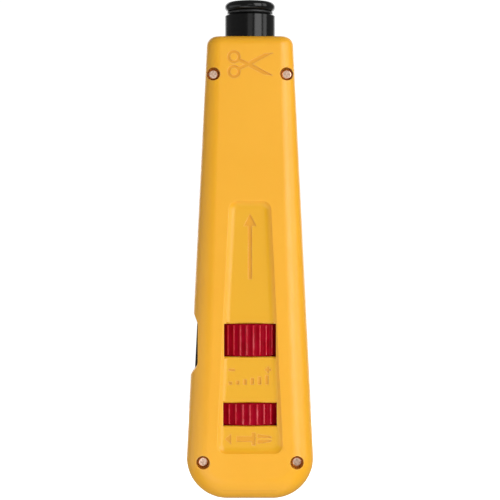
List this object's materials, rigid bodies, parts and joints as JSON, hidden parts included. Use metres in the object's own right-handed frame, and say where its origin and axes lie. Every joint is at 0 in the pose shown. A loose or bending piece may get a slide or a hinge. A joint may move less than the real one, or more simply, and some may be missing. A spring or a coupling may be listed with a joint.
{
  "type": "punch down tool",
  "caption": "Adjustable impact punch down tool: two-part handle, sprung nose barrel with a turn-and-lock blade socket, two thumb wheels, spare blade store and fold-out hook.",
  "frame": {"origin": "middle of the flat butt that the tool stands on", "axes": "+Z along the tool from the butt to the nose; -Y is the face with the marked thumb wheels; the fold-out hook is on the -X side"},
  "size_m": [0.0419, 0.0326, 0.165],
  "materials": {
    "yellow_plastic": "satin",
    "black_barrel": "satin",
    "red_plastic": "satin",
    "o_ring_rubber": "matte",
    "screw_steel": "polished",
    "tool_steel": "satin",
    "spring_steel": "satin",
    "blackened_steel": "satin",
    "brass_bush": "satin",
    "black_nylon": "matte"
  },
  "bodies": {
    "housing": {"front_shell": "yellow_plastic", "rear_shell": "yellow_plastic", "case_screws": "screw_steel", "return_washer": "tool_steel", "return_spring": "spring_steel", "latch_cam": "tool_steel", "main_spring": "spring_steel", "thrust_washer": "tool_steel", "friction_washer": "spring_steel", "hook_bush": "brass_bush", "hook_washers": "spring_steel"},
    "barrel": {"nose_barrel": "black_barrel", "barrel_oring": "o_ring_rubber", "retaining_ring": "spring_steel", "striker_stem": "tool_steel", "stem_pin": "tool_steel"},
    "hammer_unit": {"hammer": "tool_steel", "latch_spring": "spring_steel"},
    "latch": {"latch_plate": "tool_steel"},
    "adjuster_wheel": {"impact_wheel": "red_plastic"},
    "adjuster_seat": {"spring_seat": "brass_bush"},
    "blade_store": {"release_wheel": "red_plastic", "storage_sleeve": "black_nylon"},
    "hook": {"hook_tool": "blackened_steel"}
  },
  "joints": [
    {"name": "barrel_slide", "type": "slide", "parent": "housing", "child": "barrel", "axis": [0, 0, -1], "range_m": [0, 0.008], "stiffness_N_per_m": 900, "springref_m": -0.006, "deforming": ["return_spring"]},
    {"name": "hammer_slide", "type": "slide", "parent": "housing", "child": "hammer_unit", "axis": [0, 0, -1], "range_m": [0, 0.008], "deforming": ["main_spring"]},
    {"name": "latch_slide", "type": "slide", "parent": "hammer_unit", "child": "latch", "axis": [-1, 0, 0], "range_m": [0, 0.0015], "deforming": ["latch_spring"]},
    {"name": "impact_adjust", "type": "hinge", "parent": "housing", "child": "adjuster_wheel", "pos_m": [0, 0, 0.0524], "axis": [0, 0, 1], "range_deg": [-165, 165]},
    {"name": "seat_slide", "type": "slide", "parent": "housing", "child": "adjuster_seat", "axis": [0, 0, 1], "range_m": [-0.00183, 0.00183]},
    {"name": "blade_release", "type": "hinge", "parent": "housing", "child": "blade_store", "pos_m": [0, 0, 0.02815], "axis": [0, 0, 1], "range_deg": [-90, 0]},
    {"name": "hook_pivot", "type": "hinge", "parent": "housing", "child": "hook", "pos_m": [-0.0154, 0, 0.0124], "axis": [0, -1, 0], "range_deg": [0, 180]}
  ],
  "couplings": [
    {"joint": "hammer_slide", "follows": "barrel_slide", "ratio": 1},
    {"joint": "latch_slide", "follows": "barrel_slide", "ratio": 0.1875},
    {"joint": "impact_adjust", "follows": "seat_slide", "rad_per_m": 1570.8}
  ]
}
